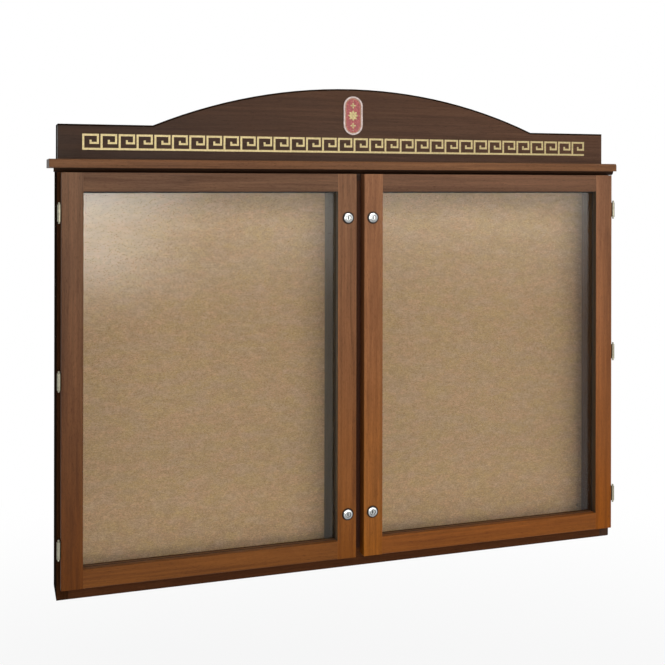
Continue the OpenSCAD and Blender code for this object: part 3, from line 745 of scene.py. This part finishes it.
def rosette(bm):
    """A flower at the plaque's middle, with a smaller one and a dot above it and below it."""

    def at(above):
        return PLAQUE_C.x, PLAQUE_C.z + above * MM

    petal_ring(bm, at(0), 8, 3.2 * MM, 13 * MM, 6.0 * MM, 0.7 * MM)
    boss(bm, at(0), 3.4 * MM, 0.9 * MM, 20)
    for sign in (-1, 1):
        petal_ring(bm, at(sign * 25), 4, 1.4 * MM, 7.5 * MM, 4.2 * MM, 0.6 * MM)
        boss(bm, at(sign * 25), 1.6 * MM, 0.7 * MM, 14)
        boss(bm, at(sign * 36.5), 1.3 * MM, 0.6 * MM, 12)


piece("plaque_rosette", rosette, smooth=True)


# The line's section in mm: outward from its inner edge, and out of the field.
LINE_SECTION = ((0, 0), (0.2, 0.35), (0.8, 0.35), (1.0, 0))


def gilt_line(bm, sides=24):
    """A fine raised line inside the plaque's rim."""
    rings = []
    for out, rise in LINE_SECTION:
        r = PLAQUE_R - RIM - 2.4 * MM + out * MM
        ring = []
        for end, start in ((1, 0), (-1, math.pi)):
            for k in range(sides + 1):
                a = math.pi * k / sides + start
                x = PLAQUE_C.x + r * math.cos(a)
                z = PLAQUE_C.z + end * PLAQUE_SPAN + r * math.sin(a)
                ring.append(bm.verts.new((x, FIELD_Y - rise * MM, z)))
        rings.append(ring)
    n = len(rings[0])
    for a, b in zip(rings, rings[1:]):
        for k in range(n):
            bm.faces.new((a[k], a[(k + 1) % n], b[(k + 1) % n], b[k]))


piece("plaque_gilt_line", gilt_line, smooth=True)


# Studio.

FLOOR_Z = -1.55
FLOOR_HALF = 40


def stage_mesh(name, verts, material):
    """A single face that isn't part of the object."""
    mesh = bpy.data.meshes.new(name)
    mesh.from_pydata(verts, [], [tuple(range(len(verts)))])
    mesh.materials.append(material)
    obj = bpy.data.objects.new(name, mesh)
    bpy.context.scene.collection.objects.link(obj)


def seen_directly(tree):
    """1 for rays from the camera, in reflections and through glass; otherwise 0."""
    path = tree.nodes.new("ShaderNodeLightPath")
    total = path.outputs["Is Camera Ray"]
    for other in ("Is Glossy Ray", "Is Transmission Ray"):
        n = tree.nodes.new("ShaderNodeMath")
        n.operation = "MAXIMUM"
        tree.links.new(total, n.inputs[0])
        tree.links.new(path.outputs[other], n.inputs[1])
        total = n.outputs[0]
    return total


WHITE = (1, 1, 1, 1)

# The floor goes over into the white surroundings away from the object.
g = Graph("floor_white")
diffuse = g.call("ShaderNodeBsdfDiffuse", (0.8, 0.8, 0.8, 1))
glow = g.call("ShaderNodeEmission", WHITE, 1.0)
away = g.step(g.vmath("LENGTH", g.point), 1.7, 4.6, 0.86, 1.0)
shown = g.math("MULTIPLY", seen_directly(g.tree), away)
g.surface(g.call("ShaderNodeMixShader", shown, diffuse, glow))
floor_corners = ((-1, -1), (1, -1), (1, 1), (-1, 1))
corners = [(FLOOR_HALF * x, FLOOR_HALF * y, FLOOR_Z) for x, y in floor_corners]
stage_mesh("floor", corners, g.material)

SKY, SKY_STRENGTH = (0.96, 0.98, 1.0, 1), 0.4
world = bpy.data.worlds.new("studio")
bpy.context.scene.world = world
world.use_nodes = True
wt = world.node_tree
wt.nodes.clear()
ambient = wt.nodes.new("ShaderNodeBackground")
ambient.inputs[0].default_value = SKY
ambient.inputs[1].default_value = SKY_STRENGTH
white = wt.nodes.new("ShaderNodeBackground")
white.inputs[0].default_value = WHITE
white.inputs[1].default_value = 1.0
wmix = wt.nodes.new("ShaderNodeMixShader")
wt.links.new(seen_directly(wt), wmix.inputs[0])
wt.links.new(ambient.outputs[0], wmix.inputs[1])
wt.links.new(white.outputs[0], wmix.inputs[2])
wout = wt.nodes.new("ShaderNodeOutputWorld")
wt.links.new(wmix.outputs[0], wout.inputs[0])


def lamp(name, at, target, size, power, colour):
    data = bpy.data.lights.new(name, "AREA")
    data.shape = "RECTANGLE"
    data.size, data.size_y = size
    data.energy = power
    data.color = colour
    obj = bpy.data.objects.new(name, data)
    obj.location = at
    obj.rotation_euler = (Vector(target) - Vector(at)).to_track_quat("-Z", "Y").to_euler()
    bpy.context.scene.collection.objects.link(obj)


lamp(
    "key",
    at=(0.9, -4.7, 2.4),
    target=(0, 0, 0.05),
    size=(3.2, 2.0),
    power=100,
    colour=(1.0, 0.985, 0.96),
)


def soft_card(name, x0, x1, z0, z1, y, strength):
    """A large diffuser, brightest at its upper left; the camera looks through it."""
    g = Graph(name)
    x, _, z = g.xyz(g.point)
    rise = g.math("MULTIPLY", g.step(z, z0, z0 + 1.1), g.step(z, z1 - 0.7, z1, 1.0, 0.0))
    fade = g.math("MULTIPLY", g.step(x, x0, x0 + 1.0), g.step(x, x0 + 1.5, x0 + 2.7, 1.0, 0.22))
    fade = g.math("MULTIPLY", fade, g.step(x, x1 - 1.2, x1, 1.0, 0.0))
    cloud = g.noise(g.scaled(g.point, (0.9, 0.9, 2.4)), 1.0, 4.0, 0.55)
    fade = g.math("MULTIPLY", fade, g.step(cloud, 0.3, 0.7, 0.72, 1.2))
    level = g.math("MULTIPLY", g.math("MULTIPLY", rise, fade), strength)
    glow = g.call("ShaderNodeEmission", (1.0, 0.98, 0.92, 1), level)
    none = g.call("ShaderNodeBsdfTransparent", WHITE)
    both = g.call("ShaderNodeAddShader", glow, none)
    camera_ray = g.node("ShaderNodeLightPath").outputs["Is Camera Ray"]
    g.surface(g.call("ShaderNodeMixShader", camera_ray, both, none))
    stage_mesh(name, [(x0, y, z0), (x1, y, z0), (x1, y, z1), (x0, y, z1)], g.material)


soft_card("soft_card", x0=-1.8, x1=5.6, z0=-0.72, z1=1.3, y=-5.6, strength=11.0)


# Camera.

FOCAL_PX, PICTURE_PX, HORIZON_PX = 1040.0, 665.0, 186.06
SENSOR_MM = 36.0
CAMERA_AT = (-0.8589, -2.5239, 0.4394)
CAMERA_TURN, CAMERA_ROLL = math.radians(18.2), math.radians(0.10)
camera_data = bpy.data.cameras.new("camera")
camera_data.sensor_width = SENSOR_MM
camera_data.lens = FOCAL_PX * SENSOR_MM / PICTURE_PX
camera_data.shift_y = -(PICTURE_PX / 2 - HORIZON_PX) / PICTURE_PX
camera_data.clip_start = 0.05
camera_data.clip_end = 200
camera = bpy.data.objects.new("camera", camera_data)
bpy.context.scene.collection.objects.link(camera)
forward = Vector((math.sin(CAMERA_TURN), math.cos(CAMERA_TURN), 0))
right = Vector((forward.y, -forward.x, math.tan(CAMERA_ROLL))).normalized()
up = right.cross(forward).normalized()
rotation = Matrix((right, up, -forward)).transposed()
camera.matrix_world = Matrix.Translation(CAMERA_AT) @ rotation.to_4x4()
bpy.context.scene.camera = camera

scene = bpy.context.scene
scene.view_settings.view_transform = "Standard"
